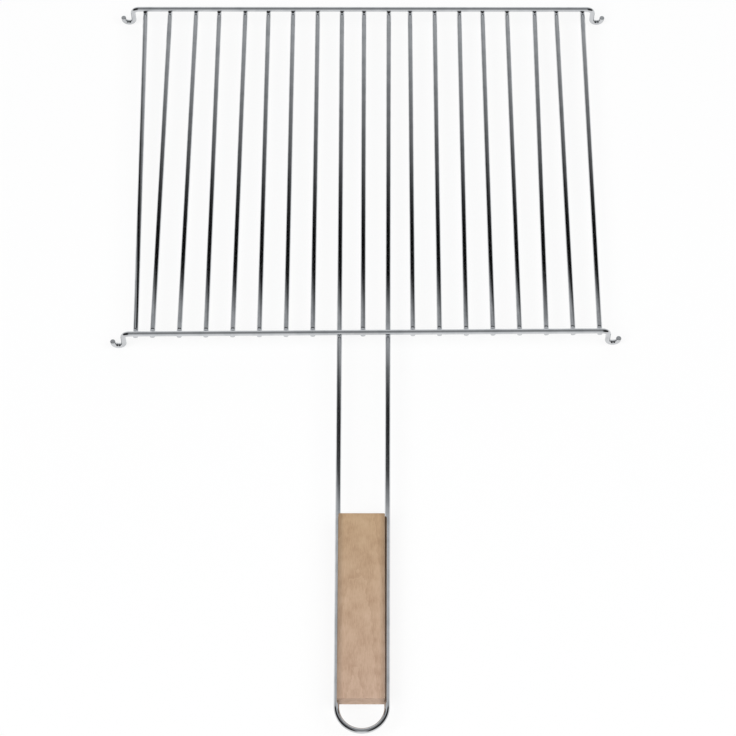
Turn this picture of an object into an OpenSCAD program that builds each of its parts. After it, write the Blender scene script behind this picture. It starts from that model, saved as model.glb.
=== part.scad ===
// Wire grill grate with a wooden grip, in millimetres.
// +X is to the right, +Y runs from the grip to the back edge, +Z is up.
// The origin is on the ground, below the middle of the whole object.

/* [Wire] */
// Diameter of the rods of the grate
rod_d = 4; // [2.5:0.1:5]
// Diameter of the two cross wires and their feet
cross_d = 4; // [2.5:0.1:5]
// Diameter of the handle wire
handle_d = 4; // [2.5:0.1:5]
// How far the welds press each rod up into the cross wires
weld_sink = 0.4; // [0.1:0.1:0.8]

/* [Grate] */
// Distance between the two cross wires at the middle rod, centre to centre
grate_depth = 310; // [200:5:400]
// How much further forward the front cross wire's left end stands than its right end
front_skew = 3.1; // [0:0.1:6]
// Number of rods on each side of the handle wire
side_rods = 8; // [3:1:12]
// Distance from one side rod to the next
rod_pitch = 20.3; // [12:0.1:30]
// Distance from the left leg's rear end to the rod beside it
left_leg_to_rod = 20; // [12:0.1:30]
// Distance from the right leg's rear end to the rod beside it
right_leg_to_rod = 17.5; // [12:0.1:30]
// How far the rods' ends run past the middle of the cross wires
rod_overrun = 0.5; // [0:0.1:6]
// How far the outer left rod's front end stands inwards
left_lean = 7.5; // [0:0.5:10]
// How far the rear end of an unevenly welded rod is off its place
weld_drift = 1.2; // [0:0.1:2]

/* [Feet] */
// Straight run of the rear cross wire past the outer left rod's middle
rear_left_reach = 5.3; // [1.5:0.1:20]
// The same past the outer right rod
rear_right_reach = 3.4; // [1.5:0.1:20]
// Straight run of the front cross wire past the outer left rod's middle
front_left_reach = 4.6; // [1.5:0.1:20]
// The same past the outer right rod
front_right_reach = 1.6; // [1.5:0.1:20]
// Radius of the bend at the top of a foot, to the wire's middle
shoulder_r = 5; // [4:0.5:10]
// How far the wire turns at that bend, from level
shoulder_turn = 90; // [80:1:120]
// Straight length between the two bends of a foot
shin_len = 7.8; // [3:0.1:30]
// Radius of the upturned cradle at the bottom of a foot, to the wire's middle
cradle_r = 4.2; // [4.2:0.1:9]
// Straight tip at the end of a foot
toe_len = 2.1; // [1:0.1:12]

/* [Handle] */
// Distance from the grate's middle to the left leg's rear end
left_leg_out = 18.2; // [15:0.1:30]
// Distance from the grate's middle to the right leg's rear end
right_leg_out = 20.4; // [15:0.1:30]
// Radius of the hanging loop, to the wire's middle
loop_r = 17.6; // [12:0.1:25]
// Distance from the front cross wire to the grip
grip_gap = 153.9; // [40:0.1:250]
// Straight wire between the grip and the bend of the loop
loop_gap = 4.3; // [0.5:0.1:30]

/* [Grip] */
// Length of the wooden grip
grip_len = 143.5; // [80:0.5:200]
// Thickness of the wooden grip
grip_t = 12; // [8:0.5:20]
// How deep the left leg lies in the grip's left edge
left_seat = 1.7; // [1:0.1:3]
// How deep the right leg lies in the grip's right edge
right_seat = 0.4; // [0.2:0.1:3]
// Height of the wood below the wire's middle, as a share of its thickness
wire_height_share = 0.5; // [0.4:0.05:0.6]
// Chamfer along the grip's edges
grip_chamfer = 0.8; // [0.2:0.1:1.5]

/* [Hidden] */
$fn = 48;
// How much the wire's radius swells where a bend starts
bend_swell = 0.02;
// The unevenly welded rods, counted from the centre, and which way each is off: 1 outwards, -1 inwards
left_uneven = [[4, -1], [6, -1]];
right_uneven = [[4, -1], [5, -1], [6, 1], [7, -1]];
chrome = [0.78, 0.79, 0.80];
wood = [0.77, 0.66, 0.56];

// Heights above the ground: the lowest point is the underside of the cradles
shin_turn = shoulder_turn - 90;
foot_drop = shoulder_r * (1 + sin(shin_turn)) + shin_len * cos(shin_turn)
    + cradle_r * (1 + sin(shin_turn));
cross_z = foot_drop + cross_d / 2;
rod_z = cross_z - (cross_d + rod_d) / 2 + weld_sink;
handle_z = cross_z - (cross_d + handle_d) / 2 + weld_sink;

// Across the grate, outwards from its middle, which is also the middle of the hanging loop
row_len = (side_rods - 1) * rod_pitch;
left_outer = left_leg_out + left_leg_to_rod + row_len;
right_outer = right_leg_out + right_leg_to_rod + row_len;
skew_angle = atan(front_skew / (left_outer + right_outer));

// Where the grate's middle stands, with the middle of the whole object at zero
foot_width = shoulder_r * cos(shin_turn) - shin_len * sin(shin_turn)
    + cradle_r * (1 + cos(shin_turn)) + cross_d / 2;
left_side = left_outer + foot_width + max(rear_left_reach, front_left_reach - left_lean);
right_side = right_outer + foot_width + max(rear_right_reach, front_right_reach);
mid_x = (left_side - right_side) / 2;

// Along the grate, with the middle of the whole object at zero
loop_reach = grip_gap + grip_len + loop_gap + loop_r + handle_d / 2;
total_len = grate_depth + cross_d / 2 + loop_reach;
rear_y = total_len / 2 - cross_d / 2;
front_y = rear_y - grate_depth;
grip_rear_y = front_y - grip_gap;
grip_front_y = grip_rear_y - grip_len;
loop_y = grip_front_y - loop_gap;

// The angle at which a leg closes in from the rear cross wire to the loop, which it meets as a tangent
leg_reach = rear_y - loop_y;
function leg_angle(leg_out) = acos(loop_r / norm([leg_out, leg_reach])) - atan2(leg_reach, leg_out);
left_leg_angle = leg_angle(left_leg_out);
right_leg_angle = leg_angle(right_leg_out);

// How far outwards the rear end of side rod i is off its place
function drift(uneven, i) = [for (entry = uneven) if (entry[0] == i) entry[1] * weld_drift, 0][0];

RODS = [for (i = [1:side_rods]) each [str("rod_left_", i), str("rod_right_", i)]];

// A straight wire that starts at the origin and runs along +X
module wire_run(length, d) {
    rotate([0, 90, 0])
        cylinder(d = d, h = length);
}

// A wire bent about +Z: the bend's centre is the origin, and angles count from +X.
// A ball at each end, a touch thicker than the wire, makes bend and straight run one solid.
module wire_bend(radius, start_angle, turn, d) {
    rotate_extrude(start = start_angle, angle = turn)
        translate([radius, 0])
            circle(d = d);
    for (end_angle = [start_angle, start_angle + turn])
        rotate([0, 0, end_angle])
            translate([radius, 0, 0])
                sphere(d = d + 2 * bend_swell);
}

// The straight parts of both cross wires, used to cut their seats into what is welded below them
module cross_seats() {
    seat_len = 2 * (left_outer + right_outer);
    for (seat = [[rear_y, 0], [front_y, skew_angle]])
        translate([mid_x, seat[0], cross_z])
            rotate([0, 0, seat[1]])
                translate([-seat_len / 2, 0, 0])
                    wire_run(seat_len, cross_d);
}

// A rod between the cross wires, at x from the grate's middle;
// its rear end stands off that place by drift and its front end by lean, both along +X
module rod(x, drift, lean) {
    run_x = drift - lean;
    run_y = grate_depth - (x + lean) * tan(skew_angle);
    color(chrome)
        difference() {
            translate([mid_x + x + drift, rear_y, rod_z])
                rotate([0, 0, atan2(run_y, run_x) + 180])
                    translate([-rod_overrun, 0, 0])
                        wire_run(norm([run_x, run_y]) + 2 * rod_overrun, rod_d);
            cross_seats();
        }
}

// One foot of a cross wire, drawn to the right of its last rod, which stands at the origin
module foot(reach) {
    shin_x = reach + shoulder_r * cos(shin_turn);
    shin_z = -shoulder_r * (1 + sin(shin_turn));
    heel_x = shin_x - shin_len * sin(shin_turn);
    heel_z = shin_z - shin_len * cos(shin_turn);
    cradle_x = heel_x + cradle_r * cos(shin_turn);
    cradle_z = heel_z - cradle_r * sin(shin_turn);
    rotate([90, 0, 0]) {
        translate([reach, -shoulder_r, 0])
            wire_bend(shoulder_r, -shin_turn, shoulder_turn, cross_d);
        translate([shin_x, shin_z, 0])
            rotate([0, 0, -90 - shin_turn])
                wire_run(shin_len, cross_d);
        translate([cradle_x, cradle_z, 0])
            wire_bend(cradle_r, 180 - shin_turn, 180 + shin_turn, cross_d);
        translate([cradle_x + cradle_r, cradle_z, 0])
            rotate([0, 0, 90])
                wire_run(toe_len, cross_d);
    }
}

// A cross wire with a foot bent at each end, turned about the grate's middle;
// left_x and right_x are the places of its outer rods
module cross_wire(y, turn, left_x, left_reach, right_x, right_reach) {
    color(chrome)
        translate([mid_x, y, cross_z])
            rotate([0, 0, turn]) {
                translate([left_x - left_reach, 0, 0])
                    wire_run(right_x - left_x + left_reach + right_reach, cross_d);
                translate([right_x, 0, 0])
                    foot(right_reach);
                translate([left_x, 0, 0])
                    mirror([1, 0, 0])
                        foot(left_reach);
            }
}

// The handle wire without its weld seats: two straight legs and the loop that joins them
module handle_path(d) {
    translate([mid_x, 0, handle_z]) {
        translate([0, loop_y, 0])
            wire_bend(loop_r, 180 + left_leg_angle, 180 - left_leg_angle - right_leg_angle, d);
        for (leg = [[-1, left_leg_angle], [1, right_leg_angle]]) {
            bend_x = loop_r * cos(leg[1]);
            bend_y = loop_y - loop_r * sin(leg[1]);
            translate([leg[0] * bend_x, bend_y, 0])
                rotate([0, 0, 90 - leg[0] * leg[1]])
                    wire_run((rear_y + rod_overrun - bend_y) / cos(leg[1]), d);
        }
    }
}

module handle_wire() {
    color(chrome)
        difference() {
            handle_path(handle_d);
            cross_seats();
        }
}

// The wooden grip: a chamfered slat with the handle wire's grooves in its edges
module wood_grip() {
    mid_reach = (grip_rear_y + grip_front_y) / 2 - loop_y;
    left_x = -loop_r - mid_reach * tan(left_leg_angle) + handle_d / 2 - left_seat;
    right_x = loop_r + mid_reach * tan(right_leg_angle) - handle_d / 2 + right_seat;
    low_z = handle_z - grip_t * wire_height_share;
    c = grip_chamfer;
    outline = [
        [left_x + c, low_z], [right_x - c, low_z], [right_x, low_z + c], [right_x, low_z + grip_t - c],
        [right_x - c, low_z + grip_t], [left_x + c, low_z + grip_t], [left_x, low_z + grip_t - c],
        [left_x, low_z + c]
    ];
    color(wood)
        difference() {
            translate([mid_x, grip_rear_y, 0])
                rotate([90, 0, 0])
                    linear_extrude(grip_len)
                        polygon(outline);
            handle_path(handle_d);
        }
}

for (i = [1:side_rods]) {
    left_x = -left_outer + (side_rods - i) * rod_pitch;
    right_x = right_outer - (side_rods - i) * rod_pitch;
    lean = i == side_rods ? left_lean : 0;
    rod(left_x, -drift(left_uneven, i), lean);
    rod(right_x, drift(right_uneven, i), 0);
}
rod(0, 0, 0);  // rod_middle
handle_wire();
cross_wire(rear_y, 0, -left_outer, rear_left_reach, right_outer, rear_right_reach);  // rear_cross_wire
cross_wire(front_y, skew_angle, left_lean - left_outer, front_left_reach, right_outer, front_right_reach);  // front_cross_wire
wood_grip();
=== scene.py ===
import math
import random

import bpy
from mathutils import Euler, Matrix, Quaternion, Vector, noise


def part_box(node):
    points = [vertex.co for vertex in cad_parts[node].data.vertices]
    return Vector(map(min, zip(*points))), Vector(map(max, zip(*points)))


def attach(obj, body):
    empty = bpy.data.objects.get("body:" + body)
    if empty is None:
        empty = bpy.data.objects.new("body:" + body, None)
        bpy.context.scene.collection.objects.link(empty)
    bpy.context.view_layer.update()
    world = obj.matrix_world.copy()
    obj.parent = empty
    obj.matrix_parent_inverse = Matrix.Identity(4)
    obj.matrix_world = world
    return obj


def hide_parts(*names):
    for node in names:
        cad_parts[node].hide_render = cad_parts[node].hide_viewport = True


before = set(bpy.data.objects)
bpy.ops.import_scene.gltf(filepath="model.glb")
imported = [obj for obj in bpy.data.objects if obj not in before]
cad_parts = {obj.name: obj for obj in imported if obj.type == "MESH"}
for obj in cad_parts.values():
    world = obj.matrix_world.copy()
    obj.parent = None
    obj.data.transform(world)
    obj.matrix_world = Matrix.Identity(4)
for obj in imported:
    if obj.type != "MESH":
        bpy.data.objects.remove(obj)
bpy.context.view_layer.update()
random.seed(7)
mm = 0.001

# camera
cameraSetup = {"lens": 116.15, "place": (0.00856, -0.91929, 1.56541), "tilt": 30, "yaw": 0.231, "roll": -0.148}

cameraData = bpy.data.cameras.new("photoCamera")
cameraData.lens = cameraSetup["lens"]
cameraData.sensor_width = 36
cameraObject = bpy.data.objects.new("photoCamera", cameraData)
cameraObject.location = cameraSetup["place"]
cameraObject.rotation_mode = "QUATERNION"
aim = Euler((math.radians(cameraSetup["tilt"]), 0, math.radians(cameraSetup["yaw"]))).to_quaternion()
cameraObject.rotation_quaternion = aim @ Quaternion((0, 0, 1), math.radians(cameraSetup["roll"]))
bpy.context.scene.collection.objects.link(cameraObject)
bpy.context.scene.camera = cameraObject
bpy.context.scene.view_settings.view_transform = "Standard"
print("camera placed")


# node helpers
def newMaterial(name):
    material = bpy.data.materials.new(name)
    material.use_nodes = True
    nodes = material.node_tree.nodes
    return material, nodes, material.node_tree.links, nodes["Principled BSDF"]


def addNode(nodes, kind, settings=None, values=None):
    node = nodes.new(kind)
    for key, value in (settings or {}).items():
        setattr(node, key, value)
    for key, value in (values or {}).items():
        node.inputs[key].default_value = value
    return node


def rampStops(ramp, stops):
    while len(ramp.elements) > 1:
        ramp.elements.remove(ramp.elements[0])
    ramp.elements[0].position, ramp.elements[0].color = stops[0][0], (*stops[0][1], 1)
    for place, colour in stops[1:]:
        ramp.elements.new(place).color = (*colour, 1)


def grey(value, cool=0.0):
    return (value * (1 - cool), value, value * (1 + cool))


# studio
studio = {"floorColour": (0.985, 0.985, 0.985), "floorSize": 60.0, "horizonLow": 0.04, "horizonHigh": 0.16,
          "horizonWhite": 1.0,
          # brightness of the ceiling by the share of a direction that points along +Y
          "ceiling": [(-1.0, 0.9), (-0.80, 0.65), (-0.66, 0.36), (-0.20, 0.30), (0.20, 0.29), (0.340, 0.34),
                      (0.362, 0.60), (0.440, 0.66), (0.447, 0.56), (0.4534, 0.32), (0.461, 0.07), (0.487, 0.02),
                      (0.497, 0.14), (0.507, 0.46), (0.515, 0.52), (0.520, 0.48), (0.523, 0.26), (0.5252, 0.003),
                      (0.551, 0.004), (0.563, 0.05), (0.574, 0.14), (0.594, 0.28), (0.606, 0.40), (0.620, 0.52),
                      (0.66, 0.62), (0.80, 0.9)],
          "sideDark": 0.12, "sideFrom": 0.12, "sideTo": 0.36, "sideBelow": (0.34, 0.37), "floorGlow": 0.85,
          "floorDrop": 0.2 * mm, "slant": 0.006,
          "keyLight": {"place": (-2.6, -2.4, 4.2), "size": 3.4, "power": 172},
          "fillLight": {"place": (2.9, -1.2, 4.0), "size": 3.4, "power": 121}}

world = bpy.data.worlds.new("studioWorld")
bpy.context.scene.world = world
world.use_nodes = True
wNodes, wLinks = world.node_tree.nodes, world.node_tree.links
direction = addNode(wNodes, "ShaderNodeTexCoord")
split = addNode(wNodes, "ShaderNodeSeparateXYZ")
wLinks.new(direction.outputs["Generated"], split.inputs[0])
slant = addNode(wNodes, "ShaderNodeMath", {"operation": "MULTIPLY_ADD"}, {1: studio["slant"]})
wLinks.new(split.outputs["X"], slant.inputs[0])
wLinks.new(split.outputs["Y"], slant.inputs[2])
along = addNode(wNodes, "ShaderNodeMapRange", None, {"From Min": -1.0, "From Max": 1.0})
wLinks.new(slant.outputs[0], along.inputs["Value"])
ceiling = addNode(wNodes, "ShaderNodeValToRGB")
rampStops(ceiling.color_ramp, [((y + 1) / 2, grey(v, 0.02)) for y, v in studio["ceiling"]])
wLinks.new(along.outputs["Result"], ceiling.inputs["Fac"])
height = addNode(wNodes, "ShaderNodeMapRange", {"interpolation_type": "SMOOTHSTEP"},
                 {"From Min": studio["horizonLow"], "From Max": studio["horizonHigh"]})
wLinks.new(split.outputs["Z"], height.inputs["Value"])
sky = addNode(wNodes, "ShaderNodeMix", {"data_type": "RGBA"})
wLinks.new(height.outputs["Result"], sky.inputs["Factor"])
sky.inputs[6].default_value = (*grey(studio["horizonWhite"]), 1)
# the ceiling is darker to both sides of the studio's middle, except towards the back
sideways = addNode(wNodes, "ShaderNodeMath", {"operation": "ABSOLUTE"})
wLinks.new(split.outputs["X"], sideways.inputs[0])
sideShade = addNode(wNodes, "ShaderNodeMapRange", {"interpolation_type": "SMOOTHSTEP"},
                    {"From Min": studio["sideFrom"], "From Max": studio["sideTo"],
                     "To Min": 1.0, "To Max": studio["sideDark"]})
wLinks.new(sideways.outputs[0], sideShade.inputs["Value"])
backwards = addNode(wNodes, "ShaderNodeMapRange", None,
                    {"From Min": studio["sideBelow"][0], "From Max": studio["sideBelow"][1]})
wLinks.new(split.outputs["Y"], backwards.inputs["Value"])
shade = addNode(wNodes, "ShaderNodeMath", {"operation": "MAXIMUM"})
wLinks.new(sideShade.outputs["Result"], shade.inputs[0])
wLinks.new(backwards.outputs["Result"], shade.inputs[1])
shadedCeiling = addNode(wNodes, "ShaderNodeVectorMath", {"operation": "SCALE"})
wLinks.new(ceiling.outputs["Color"], shadedCeiling.inputs[0])
wLinks.new(shade.outputs[0], shadedCeiling.inputs["Scale"])
wLinks.new(shadedCeiling.outputs[0], sky.inputs[7])
wLinks.new(sky.outputs[2], wNodes["Background"].inputs["Color"])

floorMaterial, nodes, links, shader = newMaterial("studioFloor")
shader.inputs["Base Color"].default_value = (*studio["floorColour"], 1)
shader.inputs["Roughness"].default_value = 1.0
shader.inputs["Specular IOR Level"].default_value = 0.0
# camera, mirror and glass rays see mostly plain white, and the rest keeps the object's shadow
glow = addNode(nodes, "ShaderNodeEmission")
rays = addNode(nodes, "ShaderNodeLightPath")
seen = addNode(nodes, "ShaderNodeMath", {"operation": "MAXIMUM"})
links.new(rays.outputs["Is Camera Ray"], seen.inputs[0])
links.new(rays.outputs["Is Glossy Ray"], seen.inputs[1])
seenToo = addNode(nodes, "ShaderNodeMath", {"operation": "MAXIMUM"})
links.new(seen.outputs[0], seenToo.inputs[0])
links.new(rays.outputs["Is Transmission Ray"], seenToo.inputs[1])
share = addNode(nodes, "ShaderNodeMath", {"operation": "MULTIPLY"}, {1: studio["floorGlow"]})
links.new(seenToo.outputs[0], share.inputs[0])
blendIn = addNode(nodes, "ShaderNodeMixShader")
links.new(share.outputs[0], blendIn.inputs[0])
links.new(shader.outputs[0], blendIn.inputs[1])
links.new(glow.outputs[0], blendIn.inputs[2])
links.new(blendIn.outputs[0], nodes["Material Output"].inputs["Surface"])
half = studio["floorSize"] / 2
floorMesh = bpy.data.meshes.new("studioFloor")
floorCorners = [(-half, -half, 0), (half, -half, 0), (half, half, 0), (-half, half, 0)]
floorMesh.from_pydata(floorCorners, [], [(0, 1, 2, 3)])
floorMesh.materials.append(floorMaterial)
floorObject = bpy.data.objects.new("studioFloor", floorMesh)
floorObject.location.z = -studio["floorDrop"]
bpy.context.scene.collection.objects.link(floorObject)

for name in ("keyLight", "fillLight"):
    lamp = studio[name]
    lightData = bpy.data.lights.new(name, "AREA")
    lightData.size = lamp["size"]
    lightData.energy = lamp["power"]
    lightObject = bpy.data.objects.new(name, lightData)
    lightObject.location = lamp["place"]
    lightObject.visible_glossy = False
    lightObject.rotation_euler = (-Vector(lamp["place"])).to_track_quat("-Z", "Y").to_euler()
    bpy.context.scene.collection.objects.link(lightObject)
print("studio lit")

# chrome wire
chromeLook = {"colour": (0.605, 0.615, 0.630), "darkTint": (0.50, 0.515, 0.53), "roughness": (0.02, 0.05),
              "clouds": 95.0, "lines": (60.0, 70.0, 1.0), "lineDepth": 0.012,
              "pits": 2600.0, "pitEdge": (0.24, 0.34), "pitDepth": 0.04}
# the near-black burnt weld colour is partly real weld scale and partly painted shade at the wire crossings
weldLook = {"burntAndShade": (0.03, 0.028, 0.028), "brown": (0.14, 0.135, 0.13), "bare": (0.42, 0.42, 0.41),
            "grain": 1300.0, "roughness": (0.25, 0.55), "depth": 0.4}


def makeChrome():
    material, nodes, links, shader = newMaterial("chromePlate")
    shader.inputs["Metallic"].default_value = 1.0
    place = addNode(nodes, "ShaderNodeTexCoord")
    # plating: slow changes of tint and gloss along the wire
    cloud = addNode(nodes, "ShaderNodeTexNoise", None,
                    {"Scale": chromeLook["clouds"], "Detail": 5.0, "Roughness": 0.62})
    links.new(place.outputs["Object"], cloud.inputs["Vector"])
    tint = addNode(nodes, "ShaderNodeValToRGB")
    rampStops(tint.color_ramp, [(0.30, chromeLook["darkTint"]), (0.56, chromeLook["colour"])])
    links.new(cloud.outputs["Fac"], tint.inputs["Fac"])
    links.new(tint.outputs["Color"], shader.inputs["Base Color"])
    gloss = addNode(nodes, "ShaderNodeMapRange", None,
                    {"From Min": 0.3, "From Max": 0.7,
                    "To Min": chromeLook["roughness"][1], "To Max": chromeLook["roughness"][0]})
    links.new(cloud.outputs["Fac"], gloss.inputs["Value"])
    links.new(gloss.outputs["Result"], shader.inputs["Roughness"])
    # fine die lines along the wire: u runs along it in metres, v round it
    stretch = addNode(nodes, "ShaderNodeMapping", None, {"Scale": chromeLook["lines"]})
    links.new(place.outputs["UV"], stretch.inputs["Vector"])
    lines = addNode(nodes, "ShaderNodeTexNoise", None, {"Scale": 1.0, "Detail": 3.0})
    links.new(stretch.outputs["Vector"], lines.inputs["Vector"])
    pits = addNode(nodes, "ShaderNodeTexNoise", None, {"Scale": chromeLook["pits"], "Detail": 2.0})
    links.new(place.outputs["Object"], pits.inputs["Vector"])
    pitEdge = addNode(nodes, "ShaderNodeMapRange", None,
                      {"From Min": chromeLook["pitEdge"][0], "From Max": chromeLook["pitEdge"][1]})
    links.new(pits.outputs["Fac"], pitEdge.inputs["Value"])
    lineBump = addNode(nodes, "ShaderNodeBump", None, {"Strength": chromeLook["lineDepth"], "Distance": 0.0002})
    links.new(lines.outputs["Fac"], lineBump.inputs["Height"])
    pitBump = addNode(nodes, "ShaderNodeBump", None, {"Strength": chromeLook["pitDepth"], "Distance": 0.0001})
    links.new(pitEdge.outputs["Result"], pitBump.inputs["Height"])
    links.new(lineBump.outputs["Normal"], pitBump.inputs["Normal"])
    links.new(pitBump.outputs["Normal"], shader.inputs["Normal"])
    return material


def makeWeldMetal():
    material, nodes, links, shader = newMaterial("weldMetalAndShade")
    shader.inputs["Metallic"].default_value = 1.0
    place = addNode(nodes, "ShaderNodeTexCoord")
    scale = addNode(nodes, "ShaderNodeTexNoise", None, {"Scale": weldLook["grain"], "Detail": 4.0, "Roughness": 0.7})
    links.new(place.outputs["Object"], scale.inputs["Vector"])
    burntAndShade = addNode(nodes, "ShaderNodeValToRGB")
    rampStops(burntAndShade.color_ramp, [(0.32, weldLook["burntAndShade"]), (0.55, weldLook["brown"]), (0.74, weldLook["bare"])])
    links.new(scale.outputs["Fac"], burntAndShade.inputs["Fac"])
    links.new(burntAndShade.outputs["Color"], shader.inputs["Base Color"])
    dull = addNode(nodes, "ShaderNodeMapRange", None,
                   {"From Min": 0.3, "From Max": 0.7,
                    "To Min": weldLook["roughness"][1], "To Max": weldLook["roughness"][0]})
    links.new(scale.outputs["Fac"], dull.inputs["Value"])
    links.new(dull.outputs["Result"], shader.inputs["Roughness"])
    bump = addNode(nodes, "ShaderNodeBump", None, {"Strength": weldLook["depth"], "Distance": 0.0002})
    links.new(scale.outputs["Fac"], bump.inputs["Height"])
    links.new(bump.outputs["Normal"], shader.inputs["Normal"])
    return material


chrome = makeChrome()
weldMetalAndShade = makeWeldMetal()

# wires
wire = {"radius": 2.0 * mm, "sides": 32, "step": 7 * mm, "edge": 0.35 * mm, "edgeShare": 0.3,
        "wander": 0.06 * mm, "waveLength": 0.09, "cuts": (0.3, 9.7), "ease": 0.02}


def sweepWire(name, path, radius, material, nodesFor, wander=0.0):
    # path: points in metres; rings are carried along it without twist
    steps = [path[0]]
    for a, b in zip(path, path[1:]):
        count = max(1, math.ceil((b - a).length / wire["step"]))
        steps += [a.lerp(b, i / count) for i in range(1, count + 1)]
    if wander:
        seed = random.uniform(0, 90)
        total = (path[-1] - path[0]).length
        for i, point in enumerate(steps):
            s = (point - path[0]).length
            ease = min(1, s / wire["ease"], (total - s) / wire["ease"])
            swing = [noise.noise(Vector((s / wire["waveLength"], seed, cut))) for cut in wire["cuts"]]
            steps[i] = point + Vector((swing[0], 0, swing[1])) * wander * max(0, ease)
    ends = (steps[0] - steps[1]).normalized(), (steps[-1] - steps[-2]).normalized()
    # short rings at each end round the sheared edge
    edge = wire["edge"]
    part = edge * wire["edgeShare"]
    rings = [(steps[0], radius - edge), (steps[0] - ends[0] * part, radius - part),
             (steps[0] - ends[0] * edge, radius)]
    rings += [(p, radius) for p in steps[1:-1]]
    rings += [(steps[-1] - ends[1] * edge, radius), (steps[-1] - ends[1] * part, radius - part),
              (steps[-1], radius - edge)]
    sides = wire["sides"]
    tangent = -ends[0]
    up = Vector((0, 0, 1)) if abs(tangent.z) < 0.9 else Vector((0, 1, 0))
    normal = (up - tangent * up.dot(tangent)).normalized()
    vertices, uvRows, run = [], [], 0.0
    for i, (point, size) in enumerate(rings):
        before = rings[max(i - 1, 0)][0]
        after = rings[min(i + 1, len(rings) - 1)][0]
        newTangent = (after - before).normalized()
        normal = tangent.rotation_difference(newTangent) @ normal
        tangent = newTangent
        side = tangent.cross(normal)
        run += (point - before).length
        uvRows.append(run)
        for k in range(sides):
            angle = 2 * math.pi * k / sides
            vertices.append(point + (normal * math.cos(angle) + side * math.sin(angle)) * size)
    faces, faceUv = [], []
    for i in range(len(rings) - 1):
        for k in range(sides):
            n = (k + 1) % sides
            faces.append((i * sides + k, i * sides + n, (i + 1) * sides + n, (i + 1) * sides + k))
            faceUv.append([(uvRows[i], k / sides), (uvRows[i], (k + 1) / sides),
                           (uvRows[i + 1], (k + 1) / sides), (uvRows[i + 1], k / sides)])
    last = (len(rings) - 1) * sides
    faces.append(tuple(reversed(range(sides))))
    faces.append(tuple(last + k for k in range(sides)))
    for base in (0.0, uvRows[-1]):
        faceUv.append([(base + 0.002 * math.cos(k), 0.5 + 0.3 * math.sin(k)) for k in range(sides)])
    return meshPiece(name, vertices, faces, material, nodesFor, faceUv)


def meshPiece(name, vertices, faces, material, nodesFor, faceUv=None):
    mesh = bpy.data.meshes.new(name)
    mesh.from_pydata([tuple(v) for v in vertices], [], faces)
    if faceUv:
        layer = mesh.uv_layers.new(name="run")
        for face, corners in zip(mesh.polygons, faceUv):
            for loop, uv in zip(face.loop_indices, corners):
                layer.data[loop].uv = uv
    mesh.validate()
    mesh.update()
    for face in mesh.polygons:
        face.use_smooth = len(face.vertices) < 8
    mesh.materials.append(material)
    piece = bpy.data.objects.new(name, mesh)
    bpy.context.scene.collection.objects.link(piece)
    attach(piece, "root")
    if nodesFor:
        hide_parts(*nodesFor)
    return piece


def endMiddle(points):
    low = Vector([min(p[i] for p in points) for i in range(3)])
    high = Vector([max(p[i] for p in points) for i in range(3)])
    return (low + high) / 2


def rodAxis(node):
    # the middle of each end face of a straight CAD wire along Y
    points = [v.co.copy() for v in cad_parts[node].data.vertices]
    low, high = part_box(node)
    z = low.z + wire["radius"]
    rear = endMiddle([p for p in points if p.y > high.y - 0.3 * mm])
    front = endMiddle([p for p in points if p.y < low.y + 0.3 * mm])
    return Vector((rear.x, high.y, z)), Vector((front.x, low.y, z))


rodNodes = ["rod_middle"] + [f"rod_{side}_{i}" for side in ("left", "right") for i in range(1, 9)]
rodLines = {}
for node in rodNodes:
    rodLines[node] = rodAxis(node)
    sweepWire(node + "_wire", list(rodLines[node]), wire["radius"], chrome, [node], wire["wander"])

foot = {"shoulder": 5.0 * mm, "shin": 7.8 * mm, "cradle": 4.2 * mm, "toe": 2.1 * mm, "bendSteps": 14}


def arc(middle, radius, start, turn, count):
    return [middle + Vector((math.cos(start + turn * i / count), math.sin(start + turn * i / count))) * radius
            for i in range(count + 1)]


def crossPath(node):
    # outline of one foot in (outwards, up), from its toe to the straight run
    low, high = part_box(node)
    points = [v.co.copy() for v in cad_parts[node].data.vertices]
    r = wire["radius"]
    z = high.z - r
    shinX = foot["cradle"] * 2 + r
    steps = foot["bendSteps"]
    heel = Vector((-shinX, -foot["shoulder"] - foot["shin"]))
    cradle = heel + Vector((foot["cradle"], 0))
    half = [cradle + Vector((foot["cradle"], foot["toe"]))]
    half += arc(cradle, foot["cradle"], 0, -math.pi, steps * 2)
    half += arc(Vector((-shinX - foot["shoulder"], -foot["shoulder"])), foot["shoulder"], 0, math.pi / 2, steps)
    leftY = endMiddle([p for p in points if p.x < low.x + 3 * mm]).y
    rightY = endMiddle([p for p in points if p.x > high.x - 3 * mm]).y
    path = []
    for side, edge in ((-1, low.x), (1, high.x)):
        row = [(edge + side * p.x, z + p.y) for p in half]
        path += row if side < 0 else row[::-1]
    lean = (rightY - leftY) / (high.x - low.x - 2 * r)
    return [Vector((x, leftY + (x - low.x - r) * lean, h)) for x, h in path], lean, leftY, low.x + r, z


crossLines = {}
for node in ("rear_cross_wire", "front_cross_wire"):
    path, lean, leftY, leftX, z = crossPath(node)
    crossLines[node] = (lean, leftY, leftX, z)
    sweepWire(node + "_bent", path, wire["radius"], chrome, [node])

# handle wire: two legs that meet the loop as tangents
low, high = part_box("handle_wire")
loop = {"radius": 17.6 * mm, "steps": 48}
handlePoints = [v.co.copy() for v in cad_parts["handle_wire"].data.vertices]
handleZ = low.z + wire["radius"]
loopY = low.y + wire["radius"] + loop["radius"]
loopX = endMiddle([p for p in handlePoints if p.y < loopY]).x
rearEnds = [p for p in handlePoints if p.y > high.y - 0.5 * mm]
legRear = {side: endMiddle([p for p in rearEnds if (p.x - loopX) * side > 0]).x - loopX for side in (-1, 1)}
legReach = high.y - 0.5 * mm - loopY


def legAngle(side):
    out = abs(legRear[side])
    return math.acos(loop["radius"] / math.hypot(out, legReach)) - math.atan2(legReach, out)


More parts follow.
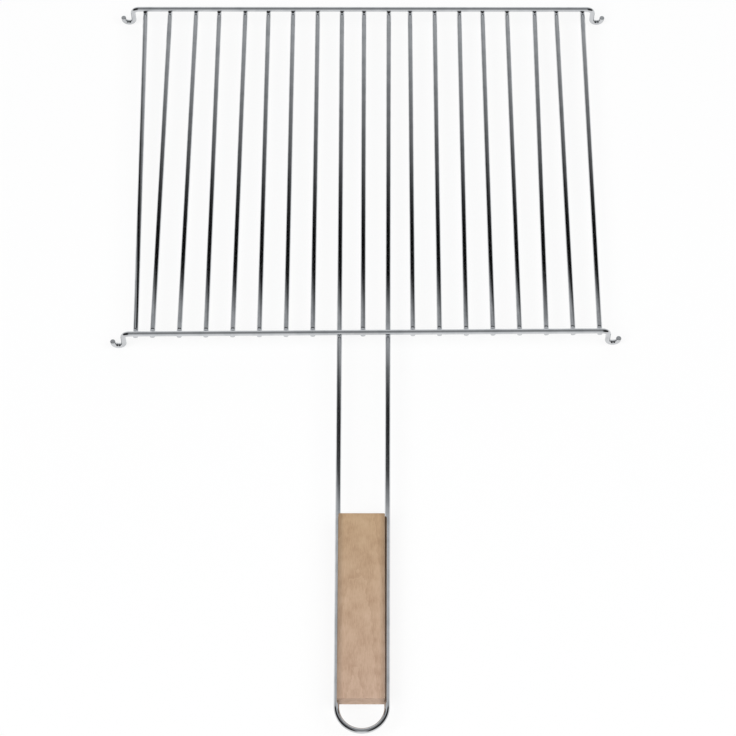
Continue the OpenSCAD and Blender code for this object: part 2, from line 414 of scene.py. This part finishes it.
leftAngle, rightAngle = legAngle(-1), legAngle(1)
sweepFrom, sweepTo = math.pi + leftAngle, 2 * math.pi - rightAngle
bend = [Vector((loopX + loop["radius"] * math.cos(a), loopY + loop["radius"] * math.sin(a), handleZ))
        for a in [sweepFrom + (sweepTo - sweepFrom) * i / loop["steps"] for i in range(loop["steps"] + 1)]]
handlePath = [Vector((loopX + legRear[-1], high.y, handleZ)), *bend, Vector((loopX + legRear[1], high.y, handleZ))]
sweepWire("handle_wire_bent", handlePath, wire["radius"], chrome, ["handle_wire"])


def legX(side, y):
    start = bend[0] if side < 0 else bend[-1]
    end = handlePath[0] if side < 0 else handlePath[-1]
    return start.x + (end.x - start.x) * (y - start.y) / (end.y - start.y)


print("wires swept")

# weld beads: their dark burnt colour is partly weld scale and partly painted shade where the wires cross
bead = {"wide": 1.35 * mm, "long": 2.1 * mm, "high": 0.75 * mm, "below": 1.95 * mm, "sizes": (0.88, 1.1),
        "inwards": {"rear": -0.95 * mm, "front": 1.5 * mm}, "rough": 0.28 * mm, "lumps": 900,
        "rows": 8, "columns": 16}


def beadCorner(base, i, k):
    return base + 1 + (i - 1) * bead["columns"] + k % bead["columns"]


def weldBeads(name, node):
    lean, leftY, leftX, z = crossLines[node]
    inwards = bead["inwards"][node.split("_")[0]]
    vertices, faces = [], []
    places = [line[0 if node.startswith("rear") else 1].x for line in rodLines.values()]
    crossY = leftY + (loopX - leftX) * lean
    places += [legX(-1, crossY), legX(1, crossY)]
    for x in sorted(places):
        middle = Vector((x, leftY + (x - leftX) * lean + inwards, z - bead["below"]))
        size = random.uniform(*bead["sizes"])
        base = len(vertices)
        for i in range(bead["rows"] + 1):
            tilt = math.pi * i / bead["rows"]
            for k in range(bead["columns"] if 0 < i < bead["rows"] else 1):
                turn = 2 * math.pi * k / bead["columns"]
                out = Vector((math.sin(tilt) * math.cos(turn) * bead["wide"],
                              math.sin(tilt) * math.sin(turn) * bead["long"],
                              math.cos(tilt) * bead["high"])) * size
                lump = noise.noise((middle + out) * bead["lumps"]) * bead["rough"]
                vertices.append(middle + out + out.normalized() * lump)
        lowest = bead["rows"] - 1
        last = base + 1 + lowest * bead["columns"]
        for k in range(bead["columns"]):
            faces.append((base, beadCorner(base, 1, k), beadCorner(base, 1, k + 1)))
            faces.append((last, beadCorner(base, lowest, k + 1), beadCorner(base, lowest, k)))
            for i in range(1, lowest):
                faces.append((beadCorner(base, i, k), beadCorner(base, i + 1, k),
                              beadCorner(base, i + 1, k + 1), beadCorner(base, i, k + 1)))
    return meshPiece(name, vertices, faces, weldMetalAndShade, [])


weldBeads("weld_beads_rear", "rear_cross_wire")
weldBeads("weld_beads_front", "front_cross_wire")
print("welds laid")

# wooden grip
# edgeFrom, edgeTo and edgeDark set painted shade, with some grime, along the grip's long sides
gripLook = {"light": (0.61, 0.435, 0.305), "middle": (0.545, 0.375, 0.252), "dark": (0.445, 0.292, 0.188),
            "warmTop": (0.95, 0.945, 0.86), "pinkEnd": (1.03, 1.05, 1.155), "roughness": 0.62,
            "ringPlace": (0.0003, 0.0, 0.012), "ringTilt": 4.5, "ringTurn": 0.6, "ringScale": 52.0, "ringWarp": 2.2,
            "flecks": (1500, 150, 1500), "pores": (5200, 420, 5200), "mottle": 85.0,
            "shares": {"rings": 0.12, "flecks": 0.55, "pores": 0.25, "mottle": 0.55},
            "edgeFrom": 11.8 * mm, "edgeTo": 16.8 * mm, "edgeDark": 0.70, "depth": 0.25}
gripShape = {"rings": 110, "corner": 0.9 * mm, "cornerSteps": 5, "topSteps": 22, "grooveSteps": 9,
             "wave": 0.05 * mm, "dents": (130, 45), "bevel": 0.45 * mm, "bevelMid": (0.12 * mm, 0.14 * mm)}


def makeWood():
    material, nodes, links, shader = newMaterial("gripBeech")
    place = addNode(nodes, "ShaderNodeTexCoord")
    # growth rings: tilted a little, so that they run out as arches on the face
    low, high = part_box("wood_grip")
    rings = addNode(nodes, "ShaderNodeMapping", {"vector_type": "POINT"},
                    {"Location": gripLook["ringPlace"],
                     "Rotation": (math.radians(gripLook["ringTilt"]), 0, math.radians(gripLook["ringTurn"]))})
    links.new(place.outputs["Object"], rings.inputs["Vector"])
    wave = addNode(nodes, "ShaderNodeTexWave", {"wave_type": "RINGS", "rings_direction": "Y", "wave_profile": "SAW"},
                   {"Scale": gripLook["ringScale"], "Distortion": gripLook["ringWarp"], "Detail": 3.0,
                    "Detail Scale": 1.4, "Detail Roughness": 0.6})
    links.new(rings.outputs["Vector"], wave.inputs["Vector"])
    # flecks and pores drawn out along the grain
    fleckMap = addNode(nodes, "ShaderNodeMapping", None, {"Scale": gripLook["flecks"]})
    links.new(place.outputs["Object"], fleckMap.inputs["Vector"])
    flecks = addNode(nodes, "ShaderNodeTexNoise", None, {"Scale": 1.0, "Detail": 4.0, "Roughness": 0.65})
    links.new(fleckMap.outputs["Vector"], flecks.inputs["Vector"])
    poreMap = addNode(nodes, "ShaderNodeMapping", None, {"Scale": gripLook["pores"]})
    links.new(place.outputs["Object"], poreMap.inputs["Vector"])
    pores = addNode(nodes, "ShaderNodeTexNoise", None, {"Scale": 1.0, "Detail": 2.0})
    links.new(poreMap.outputs["Vector"], pores.inputs["Vector"])
    # slow mottling
    mottle = addNode(nodes, "ShaderNodeTexNoise", None,
                     {"Scale": gripLook["mottle"], "Detail": 3.0, "Roughness": 0.55})
    links.new(place.outputs["Object"], mottle.inputs["Vector"])
    parts = {"rings": wave, "flecks": flecks, "pores": pores, "mottle": mottle}
    total = None
    for key, share in gripLook["shares"].items():
        weigh = addNode(nodes, "ShaderNodeMath", {"operation": "MULTIPLY_ADD"}, {1: share, 2: 0.0})
        links.new(parts[key].outputs["Fac"], weigh.inputs[0])
        if total is not None:
            links.new(total, weigh.inputs[2])
        total = weigh.outputs[0]
    colour = addNode(nodes, "ShaderNodeValToRGB")
    rampStops(colour.color_ramp, [(0.56, gripLook["dark"]), (0.76, gripLook["middle"]), (0.98, gripLook["light"])])
    links.new(total, colour.inputs["Fac"])
    # yellower towards the grate, pinker towards the loop
    split = addNode(nodes, "ShaderNodeSeparateXYZ")
    links.new(place.outputs["Object"], split.inputs[0])
    lengthwise = addNode(nodes, "ShaderNodeMapRange", None, {"From Min": low.y, "From Max": high.y})
    links.new(split.outputs["Y"], lengthwise.inputs["Value"])
    shift = addNode(nodes, "ShaderNodeValToRGB")
    rampStops(shift.color_ramp, [(0.0, gripLook["pinkEnd"]), (1.0, gripLook["warmTop"])])
    links.new(lengthwise.outputs["Result"], shift.inputs["Fac"])
    # painted shade with some handling grime: darker near both long sides, where the rounded edges meet the wires
    middleX = (low.x + high.x) / 2
    across = addNode(nodes, "ShaderNodeMath", {"operation": "SUBTRACT"}, {1: middleX})
    links.new(split.outputs["X"], across.inputs[0])
    away = addNode(nodes, "ShaderNodeMath", {"operation": "ABSOLUTE"})
    links.new(across.outputs[0], away.inputs[0])
    edge = addNode(nodes, "ShaderNodeMapRange", {"interpolation_type": "SMOOTHSTEP"},
                   {"From Min": gripLook["edgeFrom"], "From Max": gripLook["edgeTo"],
                    "To Min": 1.0, "To Max": gripLook["edgeDark"]})
    links.new(away.outputs[0], edge.inputs["Value"])
    tone = addNode(nodes, "ShaderNodeMix", {"data_type": "RGBA", "blend_type": "MULTIPLY"}, {"Factor": 1.0})
    links.new(colour.outputs["Color"], tone.inputs[6])
    links.new(shift.outputs["Color"], tone.inputs[7])
    edgeShadeAndGrime = addNode(nodes, "ShaderNodeVectorMath", {"operation": "SCALE"})
    links.new(tone.outputs[2], edgeShadeAndGrime.inputs[0])
    links.new(edge.outputs["Result"], edgeShadeAndGrime.inputs["Scale"])
    links.new(edgeShadeAndGrime.outputs[0], shader.inputs["Base Color"])
    shader.inputs["Specular IOR Level"].default_value = 0.25
    gloss = addNode(nodes, "ShaderNodeMapRange", None,
                    {"To Min": gripLook["roughness"] + 0.1, "To Max": gripLook["roughness"] - 0.08})
    links.new(flecks.outputs["Fac"], gloss.inputs["Value"])
    links.new(gloss.outputs["Result"], shader.inputs["Roughness"])
    bump = addNode(nodes, "ShaderNodeBump", None, {"Strength": gripLook["depth"], "Distance": 0.0003})
    links.new(total, bump.inputs["Height"])
    links.new(bump.outputs["Normal"], shader.inputs["Normal"])
    return material


def gripSection(y, shrink):
    # one slice of the slat as a closed loop of (x, z), with a groove for each leg
    low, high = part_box("wood_grip")
    x0, x1, z0, z1 = low.x + shrink, high.x - shrink, low.z + shrink, high.z - shrink
    r, c = wire["radius"], gripShape["corner"]
    loopPoints = []

    def corner(cx, cz, start):
        for i in range(gripShape["cornerSteps"] + 1):
            a = start + math.pi / 2 * i / gripShape["cornerSteps"]
            loopPoints.append((cx + c * math.cos(a), cz + c * math.sin(a)))

    def groove(edgeX, side):
        middle = legX(side, y)
        halfHigh = math.sqrt(max(r * r - (middle - edgeX) ** 2, 0.1 * mm * mm))
        start = math.atan2(halfHigh, edgeX - middle)
        stop = -start if side > 0 else 2 * math.pi - start
        if side > 0:
            start, stop = 2 * math.pi - start, start
        for i in range(gripShape["grooveSteps"] + 1):
            a = start + (stop - start) * i / gripShape["grooveSteps"]
            loopPoints.append((middle + r * math.cos(a), handleZ + r * math.sin(a)))

    corner(x1 - c, z0 + c, -math.pi / 2)
    groove(x1, 1)
    corner(x1 - c, z1 - c, 0)
    for i in range(1, gripShape["topSteps"]):
        loopPoints.append((x1 - c + (x0 - x1 + 2 * c) * i / gripShape["topSteps"], z1))
    corner(x0 + c, z1 - c, math.pi / 2)
    groove(x0, -1)
    corner(x0 + c, z0 + c, math.pi)
    for i in range(1, gripShape["topSteps"]):
        loopPoints.append((x0 + c + (x1 - x0 - 2 * c) * i / gripShape["topSteps"], z0))
    return loopPoints


def makeGrip():
    low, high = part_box("wood_grip")
    count = gripShape["rings"]
    bevel, (midIn, midShrink) = gripShape["bevel"], gripShape["bevelMid"]
    stations = [(high.y, bevel), (high.y - midIn, midShrink)]
    stations += [(high.y - bevel - (high.y - low.y - 2 * bevel) * i / count, 0.0) for i in range(count + 1)]
    stations += [(low.y + midIn, midShrink), (low.y, bevel)]
    vertices, faces = [], []
    for y, shrink in stations:
        for x, z in gripSection(y, shrink):
            # hand-sanded: flats and corners are never quite straight, and only ever lie inside the sawn size
            short, long = gripShape["dents"]
            dent = (0.5 + 0.5 * noise.noise(Vector((x * short, y * long, z * short)))) * gripShape["wave"]
            inward = Vector(((low.x + high.x) / 2 - x, (low.z + high.z) / 2 - z)).normalized()
            vertices.append((x + inward.x * dent, y, z + inward.y * dent))
    size = len(vertices) // len(stations)
    for i in range(len(stations) - 1):
        for k in range(size):
            n = (k + 1) % size
            faces.append((i * size + k, i * size + n, (i + 1) * size + n, (i + 1) * size + k))
    faces.append(tuple(reversed(range(size))))
    faces.append(tuple((len(stations) - 1) * size + k for k in range(size)))
    return meshPiece("wood_grip_slat", vertices, faces, makeWood(), ["wood_grip"])


makeGrip()
print("grip made")
